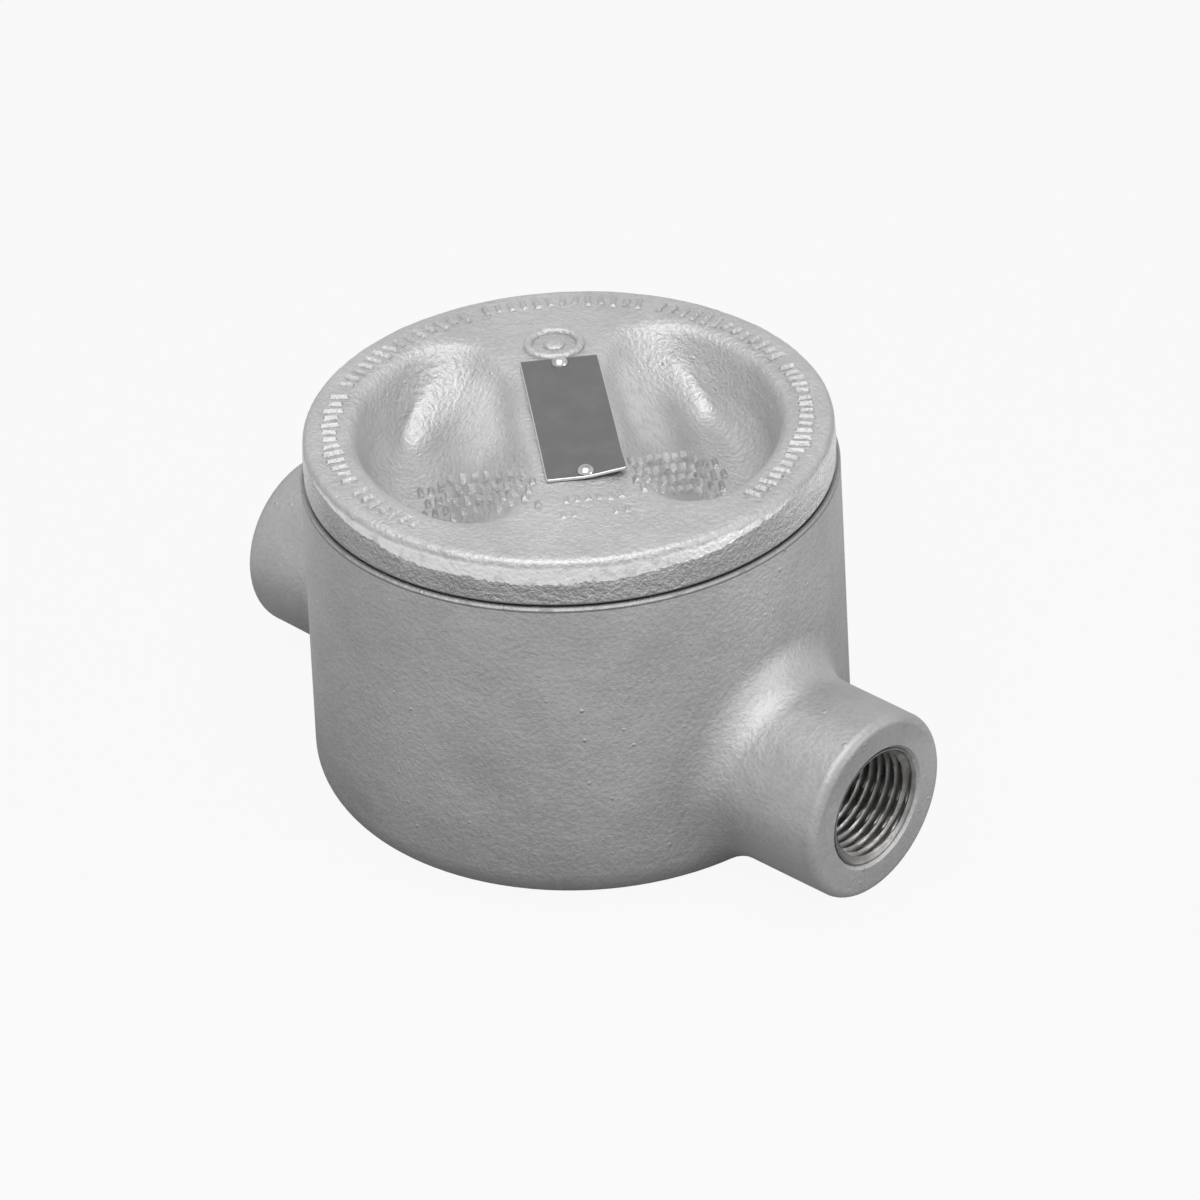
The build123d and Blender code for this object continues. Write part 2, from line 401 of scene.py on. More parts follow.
@dataclass(frozen=True)
class BoxFaces:
    """Turned rim, cover thread bore and hub bores of the box, and where shade and a highlight are painted
    on it.
    """

    rim_height: float = RIM_HEIGHT
    rim_band: float = 0.45 * MM
    rim_softness: float = 0.7
    rim_outside: float = 47.2 * MM
    rim_painted: float = 46.8 * MM
    hub_span: Range = (47.0 * MM, 60.0 * MM)
    bore_radius: float = 43.7 * MM
    bore_foot: float = 45.2 * MM
    hub_height: float = 17.5 * MM
    hub_bore: float = 10.35 * MM
    hub_bore_foot: float = 49.0 * MM
    ragged_size: float = 2.2 * MM
    ragged_depth: float = 0.25 * MM
    # Painted highlight along the rim's outer edge
    glint_size: float = 3.2 * MM
    glint_range: Range = (0.3, 0.5)
    glint_share: float = 0.15
    # Painted shade at the drum's foot, on the hub crowns and on the rim's edge by the cover
    foot_span: Range = (1.0 * MM, 20.0 * MM)
    foot_shade: float = 0.28
    crown_span: Range = (3.0 * MM, 15.0 * MM)
    crown_shade: float = 0.38
    edge_band: float = 0.8 * MM
    edge_shade: float = 0.8
    shade_patch_size: float = 12.0 * MM
    shade_patch_spread: float = 0.8
    shade_patch_least: float = 0.6
    hub_smoothness: float = 0.5
    throat_radius: float = 8.4 * MM
    throat_foot: float = 38.0 * MM
    throat_shade: float = 0.55

    def mask(self, s: Surface) -> Sock:
        """One on the rim, in the thread bore and in both hubs."""
        ragged = s.sway(self.ragged_depth, self.ragged_size)
        full = self.rim_height - self.rim_band * self.rim_softness
        rim = (s.z + ragged).rise(self.rim_height - self.rim_band, full)
        rim = rim * (s.radius < self.rim_painted)
        bore = (s.radius < self.bore_radius) * (s.z > self.bore_foot)
        from_axis = s.y.length_with(s.z - self.hub_height)
        hub = (from_axis < self.hub_bore) * (abs(s.x) > self.hub_bore_foot)
        return rim.larger(bore).larger(hub)

    def painted_highlight(self, s: Surface) -> Sock:
        """Painted highlight: a bright line along the outer edge of the rim."""
        glinting = s.noise(self.glint_size).rise(*self.glint_range)
        outside = s.radius > self.rim_outside
        return outside * (s.z > self.rim_height - self.rim_band) * glinting * self.glint_share

    def shade_and_grime(self, s: Surface) -> Sock:
        """Painted shade near the foot of the drum, on top of the hubs and on the rim's edge under the
        cover.
        """
        uneven = s.noise(self.shade_patch_size) * self.shade_patch_spread + self.shade_patch_least
        hub = abs(s.x).rise(*self.hub_span)
        foot = (1 - s.z.rise(*self.foot_span)) * (1 - hub)
        crown = hub * (s.z - self.hub_height).rise(*self.crown_span)
        edge = (s.z > self.rim_height - self.edge_band) * (s.radius > self.rim_painted)
        return (foot * self.foot_shade + crown * self.crown_shade) * uneven + edge * self.edge_shade

    def coarseness(self, s: Surface) -> Sock:
        """Finer grain on the hubs."""
        return 1 - abs(s.x).rise(*self.hub_span) * self.hub_smoothness

    def depth_shade(self, s: Surface) -> Sock:
        """Dark inside the throats."""
        from_axis = s.y.length_with(s.z - self.hub_height)
        throat = (from_axis < self.throat_radius) * (abs(s.x) > self.throat_foot)
        return throat * self.throat_shade


@dataclass(frozen=True)
class CoverFaces:
    """Turned spigot of the cover, the uneven parting line of its rim and the painted highlights on its
    skin.

    The parting line is lowest at the low_turn and rises away from it. The skin above it is painted
    lighter as a highlight, and so are the rim's sides and the bridge's flanks.
    """

    flange_foot: float = 61.05 * MM
    spigot_inside: float = 38.5 * MM
    parting: float = 64.9 * MM
    parting_rise: float = 5.3 * MM
    low_turn: float = radians(305)
    highlight_top: float = 67.8 * MM
    outside: float = 45.2 * MM
    shadow_top: float = 61.15 * MM
    shadow_depth: float = 0.15 * MM
    shadow_share: float = 0.6
    ragged_size: float = 1.2 * MM
    ragged_depth: float = 1.6 * MM
    drift_size: float = 6.0 * MM
    drift_depth: float = 1.6 * MM
    line_softness: float = 0.1 * MM
    blotch_size: float = 3.5 * MM
    blotch_detail: float = 4.0
    blotch_range: Range = (0.35, 0.6)
    blotch_dirt: float = 0.1
    least_dirt: float = 0.01
    # Painted highlight above the parting line and at the rim's sides
    highlight_patch_size: float = 2.6 * MM
    highlight_patch_range: Range = (0.28, 0.5)
    highlight_patch_spread: float = 0.45
    highlight_patch_least: float = 0.5
    top_size: float = 3.0 * MM
    top_ragged: float = 0.8 * MM
    top_below: float = 0.3 * MM
    top_above: float = 0.5 * MM
    side_range: Range = (0.15, 0.7)
    side_spread: float = 0.35
    side_least: float = 0.4
    # Painted highlight on the bridge's flanks
    flank_lit_turn: float = radians(-40)
    flank_lit_spread: float = 0.25
    flank_lit_least: float = 0.3
    flank_lit_inside: Range = (8.0 * MM, 13.0 * MM)
    flank_lit_outside: Range = (16.0 * MM, 22.0 * MM)
    flank_lit_rear: Range = (-30.0 * MM, -20.0 * MM)
    flank_lit_front: Range = (-6.0 * MM, 9.0 * MM)
    flank_lit_top: Range = (64.0 * MM, 69.0 * MM)
    flank_lit_foot: Range = (50.0 * MM, 56.0 * MM)
    coarse_extra: float = 1.1
    highlight_smoothness: float = 0.35

    def mask(self, s: Surface) -> Sock:
        """One on the spigot and under the flange."""
        return (s.z < self.flange_foot) * (s.radius > self.spigot_inside)

    def above_parting(self, s: Surface) -> Sock:
        """One on the rim's side above the ragged parting line."""
        ragged = s.sway(self.ragged_depth, self.ragged_size, *RAGGED_NOISE)
        drift = s.sway(self.drift_depth, self.drift_size)
        foot = (1 - self.facing(s)) * self.parting_rise + self.parting
        above = s.z - foot + (ragged + drift)
        return above.rise(-self.line_softness, self.line_softness) * (s.radius > self.outside)

    def facing(self, s: Surface) -> Sock:
        """Cosine of the turn from the place where the parting line is lowest."""
        return (s.x * cos(self.low_turn) + s.y * sin(self.low_turn)) / s.radius

    def shade_and_grime(self, s: Surface) -> Sock:
        """Darker, uneven skin on the rim below the parting line."""
        low = (1 - self.above_parting(s)) * (s.radius > self.outside) * (s.z < self.highlight_top)
        blotch = s.noise(self.blotch_size, self.blotch_detail).rise(*self.blotch_range)
        return low * (blotch * self.blotch_dirt + self.least_dirt)

    def painted_highlight(self, s: Surface) -> Sock:
        """Painted highlight: lighter skin on the rim above the parting line, at the rim's sides and on the
        bridge's flanks.
        """
        highlight_patches = s.noise(self.highlight_patch_size, *ROUGH_NOISE).rise(*self.highlight_patch_range)
        height = s.z + s.sway(self.top_ragged, self.top_size)
        below_top = 1 - height.rise(self.highlight_top - self.top_below, self.highlight_top + self.top_above)
        rim = self.above_parting(s) * below_top * (highlight_patches * self.highlight_patch_spread + self.highlight_patch_least)
        outside = (s.radius > self.outside) * (s.z > self.flange_foot)
        turned_away = (1 - self.facing(s).rise(*self.side_range)) * outside * below_top
        side = turned_away * (highlight_patches * self.side_spread + self.side_least)
        flank_sheen = self.lit_flanks(s) * (highlight_patches * self.flank_lit_spread + self.flank_lit_least)
        return rim.larger(side).larger(flank_sheen)

    def lit_flanks(self, s: Surface) -> Sock:
        """One on the bridge's flanks, where a highlight is painted."""
        along = s.x * cos(self.flank_lit_turn) + s.y * sin(self.flank_lit_turn)
        across = abs(s.y * cos(self.flank_lit_turn) - s.x * sin(self.flank_lit_turn))
        flank = across.rise(*self.flank_lit_inside) * (1 - across.rise(*self.flank_lit_outside))
        reach = along.rise(*self.flank_lit_rear) * (1 - along.rise(*self.flank_lit_front))
        return flank * reach * (1 - s.z.rise(*self.flank_lit_top)) * s.z.rise(*self.flank_lit_foot)

    def coarseness(self, s: Surface) -> Sock:
        """Coarser grain on the rim below the parting line."""
        side = (s.radius > self.outside) * (s.z < self.highlight_top)
        above = self.above_parting(s)
        return side * (1 - above) * self.coarse_extra + 1.0 - above * self.highlight_smoothness

    def depth_shade(self, s: Surface) -> Sock:
        """Dark along the joint with the box."""
        low = 1 - s.z.rise(self.shadow_top - self.shadow_depth, self.shadow_top)
        return low * (s.radius > self.outside) * self.shadow_share


@dataclass(frozen=True)
class TurnedMetal:
    """Bare metal with fine machining marks."""

    name: str
    colour: Colour
    shade: Colour
    roughness: float = 0.32
    mark_size: float = 0.3 * MM
    mark_depth: float = 0.012 * MM
    stain_size: float = 3.0 * MM
    stain_range: Range = (0.35, 0.7)
    stain_middle: float = 0.4
    stain_roughness: float = 0.15

    def make(self) -> Material:
        """Build the material."""
        s = Surface(self.name)
        marks = s.noise(self.mark_size, *PATCHY_NOISE)
        stain = s.noise(self.stain_size, *ROUGH_NOISE).rise(*self.stain_range)
        return s.close({
            "Base Color": s.blend(stain, self.colour, self.shade),
            "Metallic": 1.0,
            "Roughness": self.roughness + (stain - self.stain_middle) * self.stain_roughness,
            "Normal": s.relief(marks, self.mark_depth),
        })


@dataclass(frozen=True)
class Rubber:
    """Black moulded rubber."""

    name: str = "seal_rubber"
    colour: Colour = (0.018, 0.018, 0.019, 1.0)
    bloom: Colour = (0.05, 0.05, 0.05, 1.0)
    dust_size: float = 1.4 * MM
    dust_depth: float = 0.03 * MM
    bloom_range: Range = (0.45, 0.75)
    roughness: float = 0.55
    dust_roughness: float = 0.2

    def make(self) -> Material:
        """Build the material."""
        s = Surface(self.name)
        dust = s.noise(self.dust_size, *ROUGH_NOISE)
        return s.close({
            "Base Color": s.blend(dust.rise(*self.bloom_range), self.colour, self.bloom),
            "Roughness": self.roughness + dust * self.dust_roughness,
            "Normal": s.relief(dust, self.dust_depth),
        })


@dataclass(frozen=True)
class EtchedPlate:
    """Dark matt sheet with a faint grain and bright cut edges."""

    name: str
    face: Colour = (0.14, 0.14, 0.142, 1.0)
    face_worn: Colour = (0.18, 0.18, 0.182, 1.0)
    edge: Colour = (0.62, 0.62, 0.62, 1.0)
    grain_size: float = 0.22 * MM
    grain_depth: float = 0.012 * MM
    worn_size: float = 4.5 * MM
    worn_range: Range = (0.4, 0.72)
    worn_share: float = 0.7
    metallic: float = 0.5
    edge_metallic: float = 0.4
    roughness: float = 0.48
    worn_roughness: float = 0.08
    edge_polish: float = 0.15

    def make(self, edge_mask: str) -> Material:
        """Build the material.

        Args:
            edge_mask: the mesh attribute that is 1 on the cut edges.

        Returns:
            The material.
        """
        s = Surface(self.name)
        cut = s.node("ShaderNodeAttribute", {"attribute_name": edge_mask}, None, "Fac")
        grain = s.noise(self.grain_size, *GRITTY_NOISE)
        worn = s.noise(self.worn_size, *ROUGH_NOISE).rise(*self.worn_range)
        colour = s.blend(worn * self.worn_share, self.face, self.face_worn)
        return s.close({
            "Base Color": s.blend(cut, colour, self.edge),
            "Metallic": self.metallic + cut * self.edge_metallic,
            "Roughness": self.roughness + worn * self.worn_roughness - cut * self.edge_polish,
            "Normal": s.relief(grain, self.grain_depth),
        })


@dataclass(frozen=True)
class StudioFloor:
    """Pale floor that the camera sees near white and that keeps a soft shadow."""

    name: str = "studio_floor"
    colour: Colour = (0.26, 0.26, 0.26, 1.0)
    veil: float = 0.93
    near_veil: float = 0.12
    far_veil: float = 0.68
    near: float = 52 * MM
    far: float = 150 * MM

    def make(self) -> Material:
        """Build the material."""
        s = Surface(self.name)
        diffuse = s.node("ShaderNodeBsdfDiffuse", None, {"Color": self.colour})
        white = s.node("ShaderNodeEmission", None, {"Color": (1, 1, 1, 1), "Strength": 1.0})
        direct, mirrored = rays(s)
        # Reflections see less of the floor's white near the object, as painted shade round its foot
        spread = s.radius.rise(self.near, self.far)
        mirrored_veil = spread * (self.far_veil - self.near_veil) + self.near_veil
        seen = (direct * self.veil).larger(mirrored * mirrored_veil)
        shader = s.node("ShaderNodeMixShader", None, {0: seen, 1: diffuse, 2: white})
        s.end(shader)
        return s.material


BOX_ENAMEL = CastPaint("cast_body", roughness=0.49)
COVER_ENAMEL = CastPaint("cast_cover", grain_depth=0.45 * MM)
BORE_METAL = TurnedMetal("bore_metal", (0.34, 0.335, 0.33, 1), (0.22, 0.215, 0.21, 1))
SCREW_STEEL = TurnedMetal("screw_steel", (0.52, 0.52, 0.52, 1), (0.3, 0.3, 0.3, 1), roughness=0.2)
EARTH_BRASS = TurnedMetal("earth_brass", (0.66, 0.5, 0.25, 1), (0.45, 0.33, 0.16, 1))
PLATE_METAL = EtchedPlate("plate_metal")


def linked(name: str, data: bpy.types.ID) -> Piece:
    """Object with this data, linked to the scene."""
    made = bpy.data.objects.new(name, data)
    bpy.context.scene.collection.objects.link(made)
    return made


def applied(host: Piece) -> Mesh:
    """Plain mesh of a helper with its modifiers applied; the helper is deleted."""
    bpy.context.view_layer.update()
    evaluated = host.evaluated_get(bpy.context.evaluated_depsgraph_get())
    mesh = bpy.data.meshes.new_from_object(evaluated)
    bpy.data.objects.remove(host)
    return mesh


def finished(name: str, mesh: Mesh, material: Material | None = None) -> Piece:
    """Object at the origin from a mesh, closed, turned outwards and shaded smooth.

    Args:
        name: the piece's name.
        mesh: its mesh, in the row frame.
        material: its material, unless the mesh already has one.

    Returns:
        The linked object.
    """
    work = bmesh.new()
    work.from_mesh(mesh)
    bmesh.ops.remove_doubles(work, verts=work.verts, dist=MERGE_DISTANCE)
    bmesh.ops.dissolve_degenerate(work, edges=work.edges, dist=MERGE_DISTANCE)
    bmesh.ops.recalc_face_normals(work, faces=work.faces)
    for edge in work.edges:
        edge.smooth = len(edge.link_faces) == 2 and edge.calc_face_angle(pi) < SMOOTH_ANGLE
    for face in work.faces:
        face.smooth = True
    work.to_mesh(mesh)
    work.free()
    if material is not None:
        mesh.materials.clear()
        mesh.materials.append(material)
    mesh.name = name
    return linked(name, mesh)


def mesh_from(points: list[Point], faces: list[tuple[int, ...]], place: Matrix = Matrix()) -> Mesh:
    """Mesh from points and faces, moved into place."""
    mesh = bpy.data.meshes.new("work")
    mesh.from_pydata([tuple(point) for point in points], [], faces)
    mesh.transform(place)
    return mesh


def turned(outline: Outline, segments: int, place: Matrix = Matrix()) -> Mesh:
    """Closed solid of revolution about Z.

    Args:
        outline: radius and height pairs, from pole to pole or as a closed ring.
        segments: steps round the axis.
        place: where it goes.

    Returns:
        The mesh.
    """
    count = len(outline)
    points = [
        (radius * cos(tau * step / segments), radius * sin(tau * step / segments), height)
        for step in range(segments)
        for radius, height in outline
    ]
    faces = []
    for step in range(segments):
        here = step * count
        there = (step + 1) % segments * count
        for row in range(count):
            beyond = (row + 1) % count
            faces.append((here + row, there + row, there + beyond, here + beyond))
    return mesh_from(points, faces, place)


def ramp(value: float, low: float, high: float) -> float:
    """Smooth step from 0 at low to 1 at high."""
    share = min(1.0, max(0.0, (value - low) / (high - low)))
    return share * share * (3 - 2 * share)


def arc(centre: Spot, radius: float, start: float, end: float, steps: int) -> Outline:
    """Points of an arc in a radius and height plane, with angles in degrees."""
    angles = [radians(start + (end - start) * step / steps) for step in range(steps + 1)]
    return [(centre[0] + radius * cos(angle), centre[1] + radius * sin(angle)) for angle in angles]


def joined(meshes: list[Mesh]) -> Mesh:
    """One mesh from several."""
    work = bmesh.new()
    for mesh in meshes:
        work.from_mesh(mesh)
    result = bpy.data.meshes.new("joined")
    work.to_mesh(result)
    work.free()
    return result


class ShapeTree(Graph):
    """A Geometry Nodes tree with named inputs, whose result becomes a plain mesh."""

    def __init__(self, name: str) -> None:
        """Make the tree and its group input."""
        super().__init__(bpy.data.node_groups.new(name, "GeometryNodeTree"))
        self.start = self.tree.nodes.new("NodeGroupInput")

    def entries(self, kind: str, *names: str) -> list[Sock]:
        """Add named inputs of one kind, such as Float, Int or Object."""
        for name in names:
            self.tree.interface.new_socket(name=name, in_out="INPUT", socket_type="NodeSocket" + kind)
        return [Sock(self, self.start.outputs[name]) for name in names]

    def wobble(self, low: float, high: float, seed: int) -> Sock:
        """Random number for each instance, the same in every run."""
        values = {"Min": low, "Max": high, "Seed": seed}
        return self.node("FunctionNodeRandomValue", {"data_type": "FLOAT"}, values, "Value")

    def vector(self, *values: Sock | float) -> Sock:
        """Vector from three values."""
        return self.node("ShaderNodeCombineXYZ", None, dict(enumerate(values)))

    def placed(self, shape: Sock, place: Sock) -> Sock:
        """Shape with each point moved to a place."""
        return self.node("GeometryNodeSetPosition", None, {"Geometry": shape, "Position": place})

    def ribs(self, spots: Sock, spin: Sock, spread: tuple[Range, ...], seed: int) -> Sock:
        """Small raised ribs with drafted sides and domed tops, each a little different.

        Args:
            spots: the points they stand on, sunk by their own height.
            spin: turn of each; its long side is on X.
            spread: least and most share of length, width and height.
            seed: seed of the first of the three draws.

        Returns:
            The ribs.
        """
        length, width, height = self.entries("Float", "Rib Length", "Rib Width", "Rib Height")
        block = self.node("GeometryNodeMeshCube", None, {
            "Size": (2.0, 2.0, 2.0), "Vertices X": 4, "Vertices Y": 3, "Vertices Z": 3})
        across, side, up = self.parts(self.node("GeometryNodeInputPosition"))
        top = up.larger(0.0)
        draft = 1 - top * RIB_SIDE_DRAFT
        x = across * (length * 0.5 - top * width * RIB_END_DRAFT)
        y = side * width * 0.5 * draft
        dome = 1 - abs(side) * RIB_DOME
        draws = [self.wobble(*limits, seed + step) for step, limits in enumerate(spread)]
        return self.node("GeometryNodeInstanceOnPoints", None, {
            "Points": spots,
            "Instance": self.placed(block, self.vector(x, y, up * height * dome)),
            "Rotation": spin,
            "Scale": self.vector(*draws),
        })

    def close(self, shape: Sock) -> None:
        """End in Realize Instances and Set Material."""
        material = self.entries("Material", "Material")[0]
        self.tree.interface.new_socket(name="Shape", in_out="OUTPUT", socket_type="NodeSocketGeometry")
        real = self.node("GeometryNodeRealizeInstances", None, {0: shape})
        painted = self.node("GeometryNodeSetMaterial", None, {"Geometry": real, "Material": material})
        end = self.tree.nodes.new("NodeGroupOutput")
        self.tree.links.new(painted.port, end.inputs[0])

    def grown(self, name: str, values: dict[str, object], place: Matrix = Matrix()) -> Mesh:
        """Run the tree.

        Args:
            name: name of the mesh.
            values: inputs by name.
            place: where the result goes.

        Returns:
            A plain mesh.
        """
        host = linked(name + "_host", bpy.data.meshes.new(name + "_host"))
        modifier = host.modifiers.new("shape", "NODES")
        modifier.node_group = self.tree
        for item in self.tree.interface.items_tree:
            if item.item_type == "SOCKET" and item.in_out == "INPUT" and item.name in values:
                modifier[item.identifier] = values[item.name]
        mesh = applied(host)
        mesh.transform(place)
        return mesh


def thread_tree() -> ShapeTree:
    """Tree of a closed sleeve about Z with a helical ridge on one face.

    The ridge rises from the root radius to the crest radius, and dies out at both ends.
    """
    t = ShapeTree("thread_sleeve")
    root, crest, back, pitch = t.entries("Float", "Root Radius", "Crest Radius", "Back Radius", "Pitch")
    low, high, taper, run_out = t.entries("Float", "Start", "End", "Taper", "Run Out")
    flat, phase = t.entries("Float", "Crest Flat", "Phase")
    around, rows = t.entries("Int", "Steps Round", "Rows")
    # The three rows after the profile's run down the back and close the sleeve.
    grid = t.node("GeometryNodeMeshGrid", None, {
        "Size X": 1.0, "Size Y": 1.0, "Vertices X": around + 1, "Vertices Y": rows + 4})
    x, y, _ = t.parts(t.node("GeometryNodeInputPosition"))
    share = x + 0.5
    row = ((y + 0.5) * (rows + 3)).rounded()
    on_profile = (row < rows + 0.5).larger(row > rows + 2.5)
    height_share = row / rows * (row < rows + 0.5) + (abs(row - rows - 1) < 0.5)
    height = low + (high - low) * height_share
    turns = height / pitch - share + phase
    wave = abs((turns - turns.floor()) - 0.5) * 2
    ridge = ((wave - flat) / (1 - flat * 2)).larger(0.0).smaller(1.0)
    fade = ((height - low) / run_out).smaller((high - height) / run_out).larger(0.0).smaller(1.0)
    narrowing = taper * (high - height)
    profile = root + (crest - root) * ridge * fade - narrowing
    radius = profile * on_profile + back * (1 - on_profile)
    angle = share * tau
    place = t.vector(radius * angle.cosine(), radius * angle.sine(), height)
    t.close(t.placed(grid, place))
    return t


def rib_arc_tree() -> ShapeTree:
    """Tree of an arc of radial ribs on a flat face."""
    t = ShapeTree("rib_arc")
    radius, face, start, sweep = t.entries(
        "Float", "Arc Radius", "Face Height", "Start Angle", "Sweep Angle")
    count = t.entries("Int", "Count")[0]
    line = t.node("GeometryNodeMeshLine", None, {"Count": count})
    angle = start + sweep * t.node("GeometryNodeInputIndex") / (count - 1)
    place = t.vector(radius * angle.cosine(), radius * angle.sine(), face)
    spin = t.vector(0.0, 0.0, angle + t.wobble(*RIB_TILT, TILT_SEED))
    t.close(t.ribs(t.placed(line, place), spin, ARC_RIB_SPREAD, ARC_RIB_SEED))
    return t


def rib_row_tree() -> ShapeTree:
    """Tree of rows of ribs dropped onto a casting, kept where its floor is nearly level."""
    t = ShapeTree("rib_rows")
    casting = t.entries("Object", "Casting")[0]
    turn, near, row_pitch, inner = t.entries("Float", "Turn", "First Row", "Row Pitch", "Row Start")
    rib_pitch, foot, climb = t.entries("Float", "Rib Pitch", "Flank Foot", "Flank Climb")
    steepest, drop = t.entries("Float", "Least Level", "Drop Height")
    rows, ribs_in_row = t.entries("Int", "Rows", "Ribs")
    line = t.node("GeometryNodeMeshLine", None, {"Count": rows * ribs_in_row})
    index = t.node("GeometryNodeInputIndex")
    row = (index / ribs_in_row).floor()
    along = index - row * ribs_in_row
    y = inner + (along + (row / 2 - (row / 2).floor())) * rib_pitch
    x = near + row * row_pitch + (foot - abs(y)).larger(0.0) * climb
    turned_x = x * turn.cosine() - y * turn.sine()
    turned_y = x * turn.sine() + y * turn.cosine()
    above = t.vector(turned_x, turned_y, drop)
    spots = t.placed(line, above)
    space = {"transform_space": "ORIGINAL"}
    target = t.node("GeometryNodeObjectInfo", space, {"Object": casting}, "Geometry")
    hit = t.node("GeometryNodeRaycast", {"data_type": "FLOAT"}, {
        "Target Geometry": target,
        "Source Position": above,
        "Ray Direction": (0.0, 0.0, -1.0),
        "Ray Length": 1.0,
    })
    normal = hit.side("Hit Normal")
    level = t.parts(normal)[2]
    up = t.node("FunctionNodeAlignRotationToVector", {"axis": "Z"}, {"Vector": normal})
    spin = t.node("FunctionNodeRotateRotation", {"rotation_space": "LOCAL"}, {
        "Rotation": up, "Rotate By": t.vector(0.0, 0.0, turn)})
    kept = t.node("GeometryNodeDeleteGeometry", {"domain": "POINT"}, {
        "Geometry": spots, "Selection": level < steepest})
    t.close(t.ribs(t.placed(kept, hit.side("Hit Position")), spin, ROW_RIB_SPREAD, ROW_RIB_SEED))
    return t


@dataclass(frozen=True)
class Thread:
    """Sizes of one thread on a closed sleeve about Z.

    The back is the radius of the sleeve's plain face. The flat is the share of the pitch that the
    crest keeps level, and the taper is how much the radius narrows for a unit of depth.
    """

    root: float
    crest: float
    back: float
    pitch: float
    length: float
    run_out: float
    rows: int
    steps_round: int = 160
    flat: float = 0.12
    taper: float = 0.0
    phase: float = 0.0

    def mesh(self, tree: ShapeTree, end: float, material: Material, place: Matrix = Matrix()) -> Mesh:
        """Grow the sleeve.

        Args:
            tree: the thread tree.
            end: height of its upper end.
            material: bare metal.
            place: where it goes.

        Returns:
            The sleeve's mesh.
        """
        return tree.grown("thread", {
            "Root Radius": self.root,
            "Crest Radius": self.crest,
            "Back Radius": self.back,
            "Pitch": self.pitch,
            "Start": end - self.length,
            "End": end,
            "Taper": self.taper,
            "Run Out": self.run_out,
            "Crest Flat": self.flat,
            "Phase": self.phase,
            "Steps Round": self.steps_round,
            "Rows": self.rows,
            "Material": material,
        }, place)


HUB_THREAD = Thread(
    root=10.58 * MM,
    crest=9.45 * MM,
    back=10.83 * MM,
    pitch=INCH / 14,
    length=17.0 * MM,
    run_out=0.6 * MM,
    rows=112,
    steps_round=96,
    flat=0.1,
    taper=1 / 32,
)
BORE_THREAD = Thread(
    root=41.28 * MM,
    crest=40.16 * MM,
    back=41.53 * MM,
    pitch=INCH / 12,
    length=11.8 * MM,
    run_out=0.9 * MM,
    rows=66,
    phase=0.5,
)
SPIGOT_THREAD = Thread(
    root=40.05 * MM,
    crest=41.17 * MM,
    back=39.75 * MM,
    pitch=INCH / 12,
    length=11.4 * MM,
    run_out=1.1 * MM,
    rows=64,
)


@dataclass
class BoxCasting:
    """The box: painted casting, both conduit threads and the cover thread in its bore."""

    height: float = RIM_HEIGHT
    hub_end: float = HUB_END
    hub_height: float = 17.5 * MM
    thread_setback: float = 0.35 * MM
    seat_depth: float = 2.3 * MM

    def paint_casting(self) -> Piece:
        """Give the CAD casting its enamel and bare faces."""
        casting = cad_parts["box_body"]
        dress(casting, BOX_ENAMEL.make(BoxFaces()))
        return casting

    def hub_thread(self, tree: ShapeTree, side: Side, material: Material) -> Piece:
        """Taper thread in one hub.

        Args:
            tree: the thread tree.
            side: which hub.
            material: bare metal.

        Returns:
            The threaded sleeve.
        """
        turn = Matrix.Rotation(side.value * pi / 2, 4, "Y")
        place = Matrix.Translation((0, 0, self.hub_height)) @ turn
        mesh = HUB_THREAD.mesh(tree, self.hub_end - self.thread_setback, material, place)
        return worn(finished(f"hub_thread_{side.name.lower()}", mesh), Body.BOX, Slot.CAST_BODY)

    def cover_thread(self, tree: ShapeTree, material: Material) -> Piece:
        """Internal thread that the cover screws into."""
        mesh = BORE_THREAD.mesh(tree, self.height - self.seat_depth, material)
        return worn(finished("bore_thread", mesh), Body.BOX, Slot.CAST_BODY)


